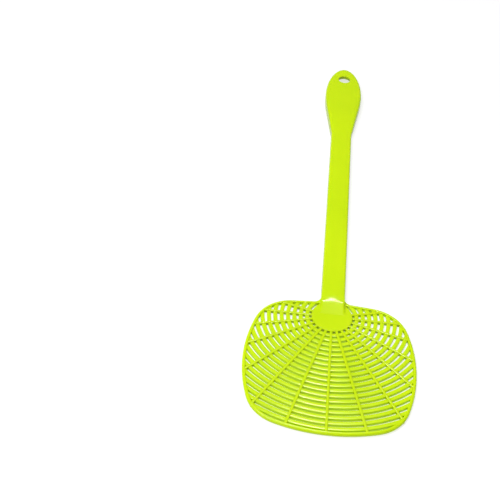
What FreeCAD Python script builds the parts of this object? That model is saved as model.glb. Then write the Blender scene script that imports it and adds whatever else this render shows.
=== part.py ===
import FreeCAD, Part
import math
import os

import Sketcher
from FreeCAD import Placement, Rotation, Vector

# Fly swatter, lying flat with its face up.  +X is to the right, +Y runs along the handle
# towards the grip, +Z is up.  Every piece is drawn about the middle of the hub, and its
# Placement then moves the hub so that the origin is under the middle of the whole length.

doc = FreeCAD.newDocument("fly_swatter")

# ---------------------------------------------------------------- driving sizes (mm, degrees)

SIZES = [
    ("arc_pitch", 4.82, "from one ring of slots to the next"),
    ("slot_start", 11.58, "radius one pitch inside the first ring of slots"),
    ("slot_width", 1.8, "width of a slot across its ring"),
    ("slot_rings", 20, "rings of slots from the hub to the tip"),
    ("bar_low", 0.2, "underside of the arc bars above the table"),
    ("bar_thick", 2.5, "thickness of the arc bars"),
    ("spoke_width", 2.2, "width of a spoke"),
    ("spoke_step", 15, "angle between neighbouring spokes"),
    ("spoke_low", 0.2, "underside of the spokes above the table"),
    ("spoke_thick", 2.8, "thickness of the spokes"),
    ("outer_bay", 26.0, "how far the short bays beside the neck reach from the hub's middle"),
    ("hub_top", 3.2, "top of the hub above the table"),
    ("hub_crown", 13.4, "radius of the flat top of the hub"),
    ("rim_width", 2.5, "width of the rim in plan"),
    ("rim_thick", 3.2, "thickness of the rim"),
    ("rim_round", 1.4, "rounding of the rim's outer edges"),
    ("head_reach", 110.7, "from the hub's middle to the tip of the head"),
    ("tip_arc", 124.0, "radius of the outline across the tip"),
    ("tip_turn", 17.3, "half of the angle that the tip arc turns through"),
    ("corner_arc", 31.3, "radius of the lower corners"),
    ("corner_turn", 55.2, "angle that a lower corner turns through"),
    ("side_arc", 126.0, "radius of the long sides"),
    ("side_turn", 35.5, "angle that a long side turns through"),
    ("shoulder_arc", 30.6, "radius of the shoulders beside the handle"),
    ("shoulder_turn", 67.0, "angle that a shoulder turns through"),
    ("neck_arc", 5.3, "radius in the corner between shoulder and neck"),
    ("stem_width", 18.4, "width of the stem"),
    ("stem_depth", 6.5, "depth of the stem, top to open underside"),
    ("stem_round", 1.8, "rounding along the stem's upper edges"),
    ("wall", 1.8, "wall of the moulded channel"),
    ("ramp_foot", 2.0, "where the neck's ramp meets the hub"),
    ("ramp_crest", 16.0, "where the ramp reaches the height of the stem"),
    ("neck_end", 20.0, "end of the stiff neck"),
    ("stem_begin", 24.0, "end of the bending stretch, start of the stem"),
    ("grip_begin", 230.0, "end of the stem, start of the grip"),
    ("grip_widest", 291.0, "where the grip is widest"),
    ("grip_reach", 334.4, "far end of the grip"),
    ("grip_width", 34.0, "greatest width of the grip"),
    ("flank_arc", 130.0, "radius of the grip's flanks below the widest point"),
    ("flank_turn", 8.8, "angle of the straight part of the flanks"),
    ("grip_depth", 8.2, "depth of the grip"),
    ("grip_round", 2.6, "rounding along the grip's upper edge"),
    ("rise_end", 262.0, "where the grip's back reaches its full height"),
    ("deck", 2.0, "thickness of the grip's upper face"),
    ("hole_reach", 315.5, "hang hole, from the hub's middle"),
    ("hole_radius", 5.5, "radius of the hang hole"),
    ("collar_wall", 1.8, "wall of the collar under the hang hole"),
    ("collar_drop", 1.5, "depth of that collar under the deck"),
    ("rib_low", 1.2, "lower edge of the stiffening ribs"),
    ("rib_thick", 1.4, "thickness of a cross rib"),
    ("rib_pitch", 17.0, "from one cross rib to the next"),
    ("stem_ribs", 12, "cross ribs in the stem"),
    ("grip_ribs", 4, "cross ribs in the grip"),
    ("spine_thick", 1.6, "thickness of the long middle rib"),
]

HUB_SHIFT = "(Sizes.head_reach - Sizes.grip_reach) / 2"

sheet = doc.addObject("Spreadsheet::Sheet", "Sizes")
for row, (alias, number, meaning) in enumerate(SIZES, start=1):
    sheet.set(f"A{row}", meaning)
    sheet.set(f"B{row}", str(number))
    sheet.setAlias(f"B{row}", alias)
doc.recompute()


def size(alias):
    """The number that the sheet holds under an alias."""
    return float(getattr(sheet, alias))


HALF_STEM = size("stem_width") / 2
HUB_EDGE = size("slot_start") + size("arc_pitch") - size("slot_width") / 2

# ---------------------------------------------------------------- small helpers

UP = Vector(0, 0, 1)
EVERYTHING = 400.0
parts = []


def keep(obj, label):
    """Name a finished sub-part, and move it so that the origin is under the middle."""
    obj.Label = label
    obj.setExpression("Placement.Base.y", HUB_SHIFT)
    parts.append(obj)
    return obj


def bind(obj, **expressions):
    """Tie an object's properties to the sheet, each by an expression."""
    for name, text in expressions.items():
        obj.setExpression(name.replace("__", "."), text)
    return obj


def origin_plane(body, role):
    """One of a body's own origin planes."""
    return next(item for item in body.Origin.OriginFeatures if item.Role == role)


def body_sketch(body, name, role="XY_Plane"):
    """A sketch on one of a body's own origin planes."""
    sketch = body.newObject("Sketcher::SketchObject", name)
    sketch.AttachmentSupport = [(origin_plane(body, role), "")]
    sketch.MapMode = "FlatFace"
    return sketch


def add_curves(sketch, curves):
    """Add curves that follow each other, join their ends, and bind the named radii."""
    first = sketch.GeometryCount
    for curve, radius in curves:
        index = sketch.addGeometry(curve, False)
        if radius:
            constraint = sketch.addConstraint(Sketcher.Constraint("Radius", index, curve.Radius))
            sketch.setExpression(f"Constraints[{constraint}]", radius)
    ends = [(index, side) for index in range(first, sketch.GeometryCount) for side in (1, 2)]
    for number, one in enumerate(ends):
        for other in ends[number + 1:]:
            if sketch.getPoint(*one).distanceToPoint(sketch.getPoint(*other)) < 1e-6:
                sketch.addConstraint(Sketcher.Constraint("Coincident", *one, *other))


def polygon(points):
    """The sides of a closed polygon, ready for add_curves."""
    corners = [Vector(x, y, 0) for x, y in points]
    return [(Part.LineSegment(a, b), None) for a, b in zip(corners, corners[1:] + corners[:1])]


def rectangle(low_x, low_y, high_x, high_y):
    """The sides of an upright rectangle, ready for add_curves."""
    return polygon([(low_x, low_y), (high_x, low_y), (high_x, high_y), (low_x, high_y)])


def pad(body, sketch, length, name, **settings):
    """Pad a sketch by a bound length."""
    feature = body.newObject("PartDesign::Pad", name)
    feature.Profile = sketch
    for key, setting in settings.items():
        setattr(feature, key, setting)
    feature.setExpression("Length", length)
    body.Tip = feature
    return feature


def extrude(sketch, length, low, name):
    """A solid between two heights, drawn by a free sketch."""
    feature = doc.addObject("Part::Extrusion", name)
    feature.Base = sketch
    feature.DirMode = "Custom"
    feature.Dir = UP
    feature.Solid = True
    feature.FaceMakerClass = "Part::FaceMakerBullseye"
    return bind(feature, LengthFwd=length, Placement__Base__z=low)


def boolean(kind, base, tool, name):
    """Cut a tool from a base, or keep what they share."""
    feature = doc.addObject(f"Part::{kind}", name)
    feature.Base = base
    feature.Tool = tool
    return feature


def free_sketch(name, curves):
    """A sketch on the plane of the table."""
    sketch = doc.addObject("Sketcher::SketchObject", name)
    add_curves(sketch, curves)
    return sketch


def round_edges(body, feature, chosen, radius, name):
    """Fillet the edges of a feature that a test picks, by a bound radius."""
    edges = [f"Edge{n}" for n, edge in enumerate(feature.Shape.Edges, start=1) if chosen(edge)]
    if not edges:
        raise RuntimeError(f"no edge to round for {name}")
    fillet = body.newObject("PartDesign::Fillet", name)
    fillet.Base = (feature, edges)
    fillet.setExpression("Radius", radius)
    body.Tip = fillet
    return fillet


def middle(edge):
    """The point half-way along an edge."""
    return edge.valueAt((edge.FirstParameter + edge.LastParameter) / 2)


# ---------------------------------------------------------------- outline of the head

def turning_arc(start, heading, radius, turn):
    """A left-hand arc from a point and a heading: the curve, its end and its end heading."""
    a = math.radians(heading)
    b = math.radians(heading + turn)
    centre = start + Vector(-math.sin(a), math.cos(a), 0) * radius
    curve = Part.ArcOfCircle(Part.Circle(centre, UP, radius), a - math.pi / 2, b - math.pi / 2)
    end = centre + Vector(math.sin(b), -math.cos(b), 0) * radius
    return curve, end, heading + turn


def mirrored(curve):
    """The same curve on the other side of the middle line."""
    if isinstance(curve, Part.LineSegment):
        flipped = [Vector(-p.x, p.y, 0) for p in (curve.StartPoint, curve.EndPoint)]
        return Part.LineSegment(*flipped)
    circle = Part.Circle(Vector(-curve.Center.x, curve.Center.y, 0), UP, curve.Radius)
    return Part.ArcOfCircle(circle, math.pi - curve.LastParameter, math.pi - curve.FirstParameter)


def head_outline(inset):
    """The head's outline without its neck: the curves, and where the right side ends.

    inset is 0 for the outer edge, or the rim's width for its inner edge.
    """
    inner = " - Sizes.rim_width" if inset else ""
    half_tip = size("tip_turn")
    tip_start = Vector(0, inset - size("head_reach"), 0)
    radius = size("tip_arc") - inset
    _, point, heading = turning_arc(tip_start, 0, radius, half_tip)
    centre = tip_start + Vector(0, radius, 0)
    low = math.radians(-90 - half_tip)
    tip = Part.ArcOfCircle(Part.Circle(centre, UP, radius), low, low + math.radians(2 * half_tip))
    curves = [(tip, "Sizes.tip_arc" + inner)]
    for name in ("corner", "side", "shoulder"):
        radius = size(f"{name}_arc") - inset
        curve, point, heading = turning_arc(point, heading, radius, size(f"{name}_turn"))
        bound = f"Sizes.{name}_arc" + inner
        curves += [(curve, bound), (mirrored(curve), bound)]
    return curves, point, heading


def shoulder_line(point, heading, to_x):
    """The straight top of a shoulder, from a point to a given distance from the middle."""
    rise = (point.x - to_x) * math.tan(math.radians(180 - heading))
    return Part.LineSegment(point, Vector(to_x, point.y + rise, 0))


def inner_outline():
    """The rim's inner edge, up to the sides of the neck: curves and the end on the right."""
    curves, point, heading = head_outline(size("rim_width"))
    line = shoulder_line(point, heading, HALF_STEM)
    return curves + [(line, None), (mirrored(line), None)], line.EndPoint


def outer_outline():
    """The rim's outer edge with the corners beside the neck: curves and the right end."""
    curves, point, heading = head_outline(0)
    radius = size("neck_arc")
    tilt = math.radians(180 - heading)
    touch_x = HALF_STEM + radius * (1 - math.sin(tilt))
    line = shoulder_line(point, heading, touch_x)
    centre = Vector(HALF_STEM + radius, line.EndPoint.y + radius * math.cos(tilt), 0)
    corner = Part.ArcOfCircle(Part.Circle(centre, UP, radius), math.pi, 1.5 * math.pi - tilt)
    curves += [(line, None), (mirrored(line), None)]
    curves += [(corner, "Sizes.neck_arc"), (mirrored(corner), "Sizes.neck_arc")]
    return curves, Vector(HALF_STEM, centre.y, 0)


INNER_CURVES, INNER_END = inner_outline()
OUTER_CURVES, OUTER_END = outer_outline()


# ---------------------------------------------------------------- head: rim, hub and neck

def make_rim():
    """The bead round the head, with its two ends against the sides of the neck."""
    body = doc.addObject("PartDesign::Body", "RimBody")
    sketch = body_sketch(body, "RimPlan")
    ends = Part.LineSegment(OUTER_END, INNER_END)
    add_curves(sketch, OUTER_CURVES + INNER_CURVES + [(ends, None), (mirrored(ends), None)])
    bead = pad(body, sketch, "Sizes.rim_thick", "RimPad")
    doc.recompute()
    outer = Part.Wire(Part.__sortEdges__([curve.toShape() for curve, _ in OUTER_CURVES]))

    def on_outer_edge(edge):
        point = middle(edge)
        flat = abs(edge.tangentAt(edge.FirstParameter).z) < 1e-6
        on_plan = Part.Vertex(Vector(point.x, point.y, 0)).distToShape(outer)[0] < 1e-4
        return flat and on_plan

    round_edges(body, bead, on_outer_edge, "Sizes.rim_round", "RimRound")
    keep(body, "rim")


def make_hub():
    """The solid middle of the head: a disc with a sloping edge, cut off square at the neck."""
    body = doc.addObject("PartDesign::Body", "HubBody")
    sketch = body_sketch(body, "HubSection", "XZ_Plane")
    low = size("spoke_low")
    edge_top = low + size("spoke_thick")
    top = size("hub_top")
    crown = size("hub_crown")
    section = [(0, low), (HUB_EDGE, low), (HUB_EDGE, edge_top), (crown, top), (0, top)]
    add_curves(sketch, polygon(section))
    turned = body.newObject("PartDesign::Revolution", "HubTurned")
    turned.Profile = sketch
    turned.ReferenceAxis = (sketch, ["V_Axis"])
    turned.Angle = 360
    body.Tip = turned
    doc.recompute()
    trim = body_sketch(body, "HubTrimPlan")
    add_curves(trim, rectangle(-EVERYTHING, INNER_END.y, EVERYTHING, EVERYTHING))
    cut = body.newObject("PartDesign::Pocket", "HubTrim")
    cut.Profile = trim
    cut.Type = "ThroughAll"
    cut.Midplane = True
    body.Tip = cut
    doc.recompute()
    if cut.Shape.Volume > turned.Shape.Volume - 1:
        raise RuntimeError("the hub was not trimmed")
    keep(body, "hub_disc")


def make_neck():
    """The ramp from the hub up to the stem, hollow underneath like the stem."""
    body = doc.addObject("PartDesign::Body", "NeckBody")
    sketch = body_sketch(body, "NeckProfile", "YZ_Plane")
    hub_top = size("hub_top")
    depth = size("stem_depth")
    seat = INNER_END.y
    points = [
        (size("ramp_foot"), hub_top), (seat, hub_top), (seat, 0), (size("neck_end"), 0),
        (size("neck_end"), depth), (size("ramp_crest"), depth),
    ]
    add_curves(sketch, polygon(points))
    block = pad(body, sketch, "Sizes.stem_width", "NeckPad", Midplane=True)
    doc.recompute()
    hollow_plan = body_sketch(body, "NeckHollowPlan")
    wall = size("wall")
    inside = HALF_STEM - wall
    add_curves(hollow_plan, rectangle(-inside, seat + wall, inside, size("neck_end")))
    hollow = body.newObject("PartDesign::Pocket", "NeckHollow")
    hollow.Profile = hollow_plan
    hollow.Reversed = True
    hollow.setExpression("Length", "Sizes.hub_top - Sizes.spoke_low")
    body.Tip = hollow
    doc.recompute()
    if hollow.Shape.Volume > block.Shape.Volume - 1:
        raise RuntimeError("the neck was not hollowed")

    def along_top_side(edge):
        ends = [vertex.Point for vertex in edge.Vertexes]
        outside = all(abs(abs(p.x) - HALF_STEM) < 1e-6 for p in ends)
        raised = all(p.z > hub_top + 1e-6 for p in ends)
        return outside and raised and middle(edge).y > size("ramp_crest")

    round_edges(body, hollow, along_top_side, "Sizes.stem_round / 2", "NeckRound")
    keep(body, "neck_ramp")


# ---------------------------------------------------------------- head: spokes and arc bars

def add_circle(sketch, radius, text):
    """A circle about the hub, with its radius bound to an expression."""
    index = sketch.addGeometry(Part.Circle(Vector(), UP, radius), False)
    sketch.addConstraint(Sketcher.Constraint("Coincident", index, 3, -1, 1))
    constraint = sketch.addConstraint(Sketcher.Constraint("Radius", index, radius))
    sketch.setExpression(f"Constraints[{constraint}]", text)


def make_web_tools():
    """The shapes that spokes and bars are cut with: two plates inside the rim, and the slots.

    The first ring of slots reaches in to the hub's middle, which the hub fills, and the last
    ring reaches out to the rim.
    """
    across = Part.LineSegment(INNER_END, Vector(-INNER_END.x, INNER_END.y, 0))
    inside = free_sketch("WebPlan", INNER_CURVES + [(across, None)])
    spoke_plate = extrude(inside, "Sizes.spoke_thick", "Sizes.spoke_low", "SpokePlate")
    hub_hole = bind(
        doc.addObject("Part::Cylinder", "HubHole"),
        Radius="Sizes.slot_start + Sizes.arc_pitch - Sizes.slot_width / 2",
        Height="Sizes.rim_thick",
    )
    spoke_room = boolean("Cut", spoke_plate, hub_hole, "SpokeRoom")
    slots = doc.addObject("Sketcher::SketchObject", "SlotRings")
    last_ring = int(size("slot_rings"))
    for ring in range(1, last_ring + 1):
        middle_text = f"Sizes.slot_start + {ring} * Sizes.arc_pitch"
        middle_radius = size("slot_start") + ring * size("arc_pitch")
        half = size("slot_width") / 2
        if ring > 1:
            add_circle(slots, middle_radius - half, f"{middle_text} - Sizes.slot_width / 2")
        if ring < last_ring:
            add_circle(slots, middle_radius + half, f"{middle_text} + Sizes.slot_width / 2")
    add_circle(slots, size("head_reach"), "Sizes.head_reach")
    slot_tool = extrude(slots, "Sizes.rim_thick", "0", "SlotTool")
    bar_plate = extrude(inside, "Sizes.bar_thick", "Sizes.bar_low", "BarPlate")
    rings = boolean("Cut", bar_plate, slot_tool, "BarRings")
    return spoke_room, rings


def side_name(stem, number):
    """A name with its side: stem_left_3, stem_right_3, or stem_center for number 0."""
    if number == 0:
        return f"{stem}_center"
    side = "right" if number > 0 else "left"
    return f"{stem}_{side}_{abs(number)}"


LAST_SPOKE = 7

# Arc bars that each bay has room for, from the middle bay outwards.
BARS_IN_BAY = [19, 19, 18, 13, 10, 8, 6]


def make_spokes(room):
    """Fifteen straight spokes from the hub to the rim, numbered outwards from the middle one."""
    for number in range(-LAST_SPOKE, LAST_SPOKE + 1):
        name = side_name("spoke", number)
        turn = Rotation(UP, -90 + number * size("spoke_step"))
        bar = bind(
            doc.addObject("Part::Box", f"{name}_blank"),
            Length="Sizes.head_reach",
            Width="Sizes.spoke_width",
            Height="Sizes.rim_thick",
        )
        bar.Placement = Placement(turn.multVec(Vector(0, -size("spoke_width") / 2, 0)), turn)
        keep(boolean("Common", room, bar, f"{name}_cut"), name)


def make_bars(rings):
    """The arc bars of each bay between two spokes, one node for each bay."""
    half_open = " * tan(Sizes.spoke_step / 2) - Sizes.spoke_width / 2 / cos(Sizes.spoke_step / 2)"
    for bay, bars in enumerate(BARS_IN_BAY, start=1):
        for side in (-1, 1):
            name = side_name("bars", side * bay)
            reach = f"(Sizes.slot_start + {bars + 1} * Sizes.arc_pitch)"
            wedge = bind(
                doc.addObject("Part::Wedge", f"{name}_bay"),
                Ymin="Sizes.slot_start",
                Ymax=reach,
                Xmax="Sizes.slot_start" + half_open,
                X2max=reach + half_open,
                Xmin="-.Xmax",
                X2min="-.X2max",
                Zmin="0",
                Z2min="0",
                Zmax="Sizes.rim_thick",
                Z2max="Sizes.rim_thick",
            )
            turn = 180 + side * (bay - 0.5) * size("spoke_step")
            wedge.Placement = Placement(Vector(), Rotation(UP, turn))
            keep(boolean("Common", rings, wedge, f"{name}_cut"), name)
    for side in (-1, 1):
        name = side_name("bars", side * (LAST_SPOKE + 1))
        turn = Rotation(UP, -90 + side * LAST_SPOKE * size("spoke_step"))
        corner = bind(
            doc.addObject("Part::Box", f"{name}_bay"),
            Length="Sizes.outer_bay",
            Width="Sizes.head_reach / 3",
            Height="Sizes.rim_thick",
        )
        near = size("spoke_width") / 2
        across = near if side > 0 else -near - size("head_reach") / 3
        corner.Placement = Placement(turn.multVec(Vector(0, across, 0)), turn)
        keep(boolean("Common", rings, corner, f"{name}_cut"), name)


# ---------------------------------------------------------------- handle: stem

def channel_section():
    """Cross-section of the stem: an upside-down channel with rounded upper edges."""
    depth = size("stem_depth")
    radius = size("stem_round")
    wall = size("wall")
    inside = HALF_STEM - wall
    roof = depth - wall
    centre = Vector(HALF_STEM - radius, depth - radius, 0)
    bend = Part.ArcOfCircle(Part.Circle(centre, UP, radius), 0, math.pi / 2)
    right = [
        Part.LineSegment(Vector(inside, roof, 0), Vector(inside, 0, 0)),
        Part.LineSegment(Vector(inside, 0, 0), Vector(HALF_STEM, 0, 0)),
        Part.LineSegment(Vector(HALF_STEM, 0, 0), Vector(HALF_STEM, depth - radius, 0)),
    ]
    curves = [(curve, None) for line in right for curve in (line, mirrored(line))]
    curves += [(bend, "Sizes.stem_round"), (mirrored(bend), "Sizes.stem_round")]
    top = Part.LineSegment(Vector(HALF_STEM - radius, depth, 0), Vector(radius - HALF_STEM, depth, 0))
    under = Part.LineSegment(Vector(inside, roof, 0), Vector(-inside, roof, 0))
    return curves + [(top, None), (under, None)]


def make_channel(label, begin, end):
    """A stretch of the channel between two places along the handle."""
    body = doc.addObject("PartDesign::Body", f"{label}_body")
    sketch = body_sketch(body, f"{label}_section", "XZ_Plane")
    sketch.setExpression("AttachmentOffset.Base.z", f"-{begin}")
    add_curves(sketch, channel_section())
    pad(body, sketch, f"{end} - {begin}", f"{label}_pad", Reversed=True)
    keep(body, label)


def make_box(name, width, length, height, begin, low):
    """A box across the middle line, bound to the sheet."""
    return bind(
        doc.addObject("Part::Box", name),
        Width=length, Length=width, Height=height,
        Placement__Base__x=f"-({width}) / 2", Placement__Base__y=begin, Placement__Base__z=low,
    )


def make_stem_ribs():
    """The long middle rib under the stem, and the cross ribs on both sides of it."""
    height = "Sizes.stem_depth - Sizes.wall - Sizes.rib_low"
    length = "Sizes.grip_begin - Sizes.stem_begin"
    spine = doc.addObject("PartDesign::Body", "StemSpineBody")
    plan = body_sketch(spine, "StemSpinePlan")
    plan.setExpression("AttachmentOffset.Base.z", "Sizes.rib_low")
    half = size("spine_thick") / 2
    add_curves(plan, rectangle(-half, size("stem_begin"), half, size("grip_begin")))
    pad(spine, plan, height, "StemSpinePad")
    keep(spine, "stem_spine_rib")

    body = doc.addObject("PartDesign::Body", "StemRibBody")
    body.AllowCompound = True
    plan = body_sketch(body, "StemRibPlan")
    plan.setExpression("AttachmentOffset.Base.z", "Sizes.rib_low")
    first = size("stem_begin") + size("rib_pitch") / 2
    for side in (-1, 1):
        near, far = sorted((side * half, side * (HALF_STEM - size("wall"))))
        add_curves(plan, rectangle(near, first, far, first + size("rib_thick")))
    ribs = pad(body, plan, height, "StemRibPad")
    doc.recompute()
    row = body.newObject("PartDesign::LinearPattern", "StemRibRow")
    row.Originals = [ribs]
    row.Direction = (plan, ["V_Axis"])
    row.setExpression("Occurrences", "Sizes.stem_ribs")
    row.setExpression("Length", "(Sizes.stem_ribs - 1) * Sizes.rib_pitch")
    body.Tip = row
    doc.recompute()
    keep(body, "stem_cross_ribs")


# ---------------------------------------------------------------- handle: grip

def grip_outline(inset):
    """The teardrop in plan: half an ellipse at the far end, arcs and straight flanks below."""
    begin = size("grip_begin") + inset
    widest = size("grip_widest")
    half = size("grip_width") / 2 - inset
    radius = size("flank_arc") - inset
    turn = math.radians(size("flank_turn"))
    centre = Vector(half - radius, widest, 0)
    flank = Part.ArcOfCircle(Part.Circle(centre, UP, radius), -turn, 0)
    knee = centre + Vector(math.cos(turn), -math.sin(turn), 0) * radius
    foot = Vector(knee.x - (knee.y - begin) * math.tan(turn), begin, 0)
    straight = Part.LineSegment(foot, knee)
    reach = size("grip_reach") - inset
    ellipse = Part.Ellipse(Vector(0, reach, 0), Vector(half, widest, 0), Vector(0, widest, 0))
    end = Part.ArcOfEllipse(ellipse, -math.pi / 2, math.pi / 2)
    base = Part.LineSegment(foot, Vector(-foot.x, foot.y, 0))
    bound = "Sizes.flank_arc - Sizes.wall" if inset else "Sizes.flank_arc"
    curves = [(flank, bound), (mirrored(flank), bound), (straight, None), (mirrored(straight), None)]
    return curves + [(end, None), (base, None)]


def make_grip_blank():
    """The grip as a solid block with its back rising from the stem, rounded all round."""
    body = doc.addObject("PartDesign::Body", "GripBlank")
    plan = body_sketch(body, "GripPlan")
    add_curves(plan, grip_outline(0))
    block = pad(body, plan, "Sizes.grip_depth", "GripPad")
    doc.recompute()
    side = body_sketch(body, "GripBackLine", "YZ_Plane")
    rise = size("grip_depth") - size("stem_depth")
    begin = Vector(size("grip_begin"), size("stem_depth"), 0)
    end = Vector(size("rise_end"), size("grip_depth"), 0)
    radius = (rise ** 2 + (end.x - begin.x) ** 2) / (2 * rise)
    centre = Vector(end.x, end.y - radius, 0)
    begin_angle = math.atan2(begin.y - centre.y, begin.x - centre.x)
    back = Part.ArcOfCircle(Part.Circle(centre, UP, radius), math.pi / 2, begin_angle)
    above = Vector(begin.x, end.y, 0)
    edges = [back, Part.LineSegment(begin, above), Part.LineSegment(above, end)]
    add_curves(side, [(edge, None) for edge in edges])
    cut = body.newObject("PartDesign::Pocket", "GripBack")
    cut.Profile = side
    cut.Type = "ThroughAll"
    cut.Midplane = True
    body.Tip = cut
    doc.recompute()
    if cut.Shape.Volume > block.Shape.Volume - 1:
        raise RuntimeError("the grip's back was not cut")
    lowest = size("stem_depth") - 1e-3

    def upper_edge(edge):
        points = [edge.valueAt(edge.FirstParameter), middle(edge), edge.valueAt(edge.LastParameter)]
        across = all(abs(p.y - points[0].y) < 1e-6 for p in points)
        return all(p.z > lowest for p in points) and not across

    round_edges(body, cut, upper_edge, "Sizes.grip_round", "GripRound")
    return body


def make_grip():
    """The teardrop shell, the collar under its hang hole, and the ribs inside it."""
    blank = make_grip_blank()
    hollow_plan = free_sketch("GripHollowPlan", grip_outline(size("wall")))
    low_hollow = extrude(hollow_plan, "Sizes.stem_depth - Sizes.wall", "0", "GripLowHollow")
    high_hollow = extrude(hollow_plan, "Sizes.grip_depth - Sizes.deck", "0", "GripHighHollow")
    far_half = make_box(
        "GripFarHalf", "2 * Sizes.grip_width", "Sizes.grip_width * 3", "Sizes.grip_depth",
        "Sizes.rise_end", "0",
    )
    far_hollow = boolean("Common", high_hollow, far_half, "GripFarHollow")
    cavity = boolean("Fuse", low_hollow, far_hollow, "GripCavity")
    shell = boolean("Cut", blank, cavity, "GripHollowed")
    hole = bind(
        doc.addObject("Part::Cylinder", "HangHole"),
        Radius="Sizes.hole_radius", Height="2 * Sizes.grip_depth", Placement__Base__y="Sizes.hole_reach",
    )
    keep(boolean("Cut", shell, hole, "GripHoled"), "grip_shell")

    collar_height = "Sizes.collar_drop"
    collar_low = "Sizes.grip_depth - Sizes.deck - Sizes.collar_drop"
    outside = bind(
        doc.addObject("Part::Cylinder", "CollarOutside"),
        Radius="Sizes.hole_radius + Sizes.collar_wall", Height=collar_height,
        Placement__Base__y="Sizes.hole_reach", Placement__Base__z=collar_low,
    )
    keep(boolean("Cut", outside, hole, "Collar"), "hang_hole_collar")

    spine_end = "Sizes.hole_reach - Sizes.hole_radius - 2 * Sizes.collar_wall"
    spine = make_box(
        "GripSpineBlank", "Sizes.spine_thick", f"{spine_end} - Sizes.grip_begin", "Sizes.grip_depth",
        "Sizes.grip_begin", "Sizes.rib_low",
    )
    keep(boolean("Common", cavity, spine, "GripSpine"), "grip_spine_rib")
    blanks = []
    for number in range(int(size("grip_ribs"))):
        begin = f"Sizes.grip_begin + ({number} + 0.75) * Sizes.rib_pitch"
        blanks.append(make_box(
            f"GripRib{number + 1}", "2 * Sizes.grip_width", "Sizes.rib_thick", "Sizes.grip_depth",
            begin, "Sizes.rib_low",
        ))
    grid = doc.addObject("Part::Compound", "GripRibBlanks")
    grid.Links = blanks
    ribs = boolean("Common", grid, cavity, "GripRibsInside")
    keep(boolean("Cut", ribs, spine, "GripRibs"), "grip_cross_ribs")


# ---------------------------------------------------------------- build, check and write

make_rim()
make_hub()
make_neck()
spoke_room, bar_rings = make_web_tools()
make_spokes(spoke_room)
make_bars(bar_rings)
make_channel("neck_flexure", "Sizes.neck_end", "Sizes.stem_begin")
make_channel("stem_channel", "Sizes.stem_begin", "Sizes.grip_begin")
make_stem_ribs()
make_grip()
doc.recompute()

for obj in doc.Objects:
    if "Invalid" in obj.State or "Error" in obj.State:
        raise RuntimeError(f"{obj.Name} ({obj.Label}) did not build: {obj.State}")
for part in parts:
    if part.Shape.isNull() or not part.Shape.isValid() or not part.Shape.Solids:
        raise RuntimeError(f"{part.Label} has no sound shape")

os.makedirs("parts", exist_ok=True)
for part in parts:
    part.Shape.exportStep(f"parts/{part.Label}.step")
    print(f"{part.Label:20s} {len(part.Shape.Solids):3d} solids {part.Shape.Volume:10.1f} mm3")
print(len(parts), "nodes")
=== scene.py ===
import math

import bmesh
import bpy
from bpy.props import FloatProperty, FloatVectorProperty, IntProperty, PointerProperty
from mathutils import Euler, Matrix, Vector


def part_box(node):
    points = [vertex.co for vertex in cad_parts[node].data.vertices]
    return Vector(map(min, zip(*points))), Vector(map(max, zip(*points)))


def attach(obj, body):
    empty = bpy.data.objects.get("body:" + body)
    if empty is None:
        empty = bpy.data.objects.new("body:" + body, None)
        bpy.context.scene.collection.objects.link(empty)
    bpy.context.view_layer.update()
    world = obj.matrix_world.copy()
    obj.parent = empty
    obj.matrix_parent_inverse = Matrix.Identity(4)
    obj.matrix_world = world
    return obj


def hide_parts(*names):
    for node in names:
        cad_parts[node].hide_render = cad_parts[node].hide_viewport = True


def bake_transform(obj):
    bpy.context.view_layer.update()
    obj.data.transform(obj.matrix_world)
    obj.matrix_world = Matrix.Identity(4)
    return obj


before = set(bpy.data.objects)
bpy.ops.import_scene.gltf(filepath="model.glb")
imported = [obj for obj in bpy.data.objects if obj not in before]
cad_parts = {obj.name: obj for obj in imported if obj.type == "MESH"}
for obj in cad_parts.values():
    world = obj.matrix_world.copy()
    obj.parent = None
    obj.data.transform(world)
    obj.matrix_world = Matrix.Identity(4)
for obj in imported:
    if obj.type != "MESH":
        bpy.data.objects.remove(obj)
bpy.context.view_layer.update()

bl_info = {
    "name": "Fly Swatter",
    "version": (1, 0, 0),
    "blender": (4, 5, 0),
    "location": "3D View > Sidebar > Fly Swatter",
    "description": "Builds the moulded plastic looks of a fly swatter round its packed frame",
    "category": "Object",
}

MM = 0.001

# ------------------------------------------------------------------ places read from the frame

HUB_LOW, HUB_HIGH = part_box("hub_disc")
RIM_LOW, RIM_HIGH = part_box("rim")
FLEX_LOW, FLEX_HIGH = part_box("neck_flexure")
STEM_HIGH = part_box("stem_channel")[1]
GRIP_LOW, GRIP_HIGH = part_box("grip_shell")
COLLAR_LOW, COLLAR_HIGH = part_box("hang_hole_collar")
SPOKE_LOW, SPOKE_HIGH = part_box("spoke_center")
BAR_LOW, BAR_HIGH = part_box("bars_left_1")

HUB_RADIUS = HUB_HIGH.x
HUB_Y = HUB_LOW.y + HUB_RADIUS
STEM_HALF = STEM_HIGH.x
HOLE_Y = (COLLAR_LOW.y + COLLAR_HIGH.y) / 2
SEAT_Y = HUB_HIGH.y
FLIP = Vector((-1, 1, 1))


def along(distance):
    """A place along the handle, from its distance to the middle of the hub."""
    return HUB_Y + distance


# ------------------------------------------------------------------ sizes and colours to change

def length(name, description, default):
    """A property that holds a length in metres."""
    return FloatProperty(
        name=name, description=description, default=default, unit="LENGTH", precision=5
    )


def angle(name, description, degrees):
    """A property that holds an angle."""
    return FloatProperty(
        name=name, description=description, default=math.radians(degrees), unit="ROTATION"
    )


def amount(name, description, default):
    """A property that holds a share, a strength or a power."""
    return FloatProperty(name=name, description=description, default=default, min=0)


def count_of(name, description, default):
    """A property that holds a number of things."""
    return IntProperty(name=name, description=description, default=default, min=1)


def colour(name, description, default):
    """A property that holds a colour."""
    return FloatVectorProperty(
        name=name, description=description, default=default, subtype="COLOR", min=0, max=1, size=3
    )


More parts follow.
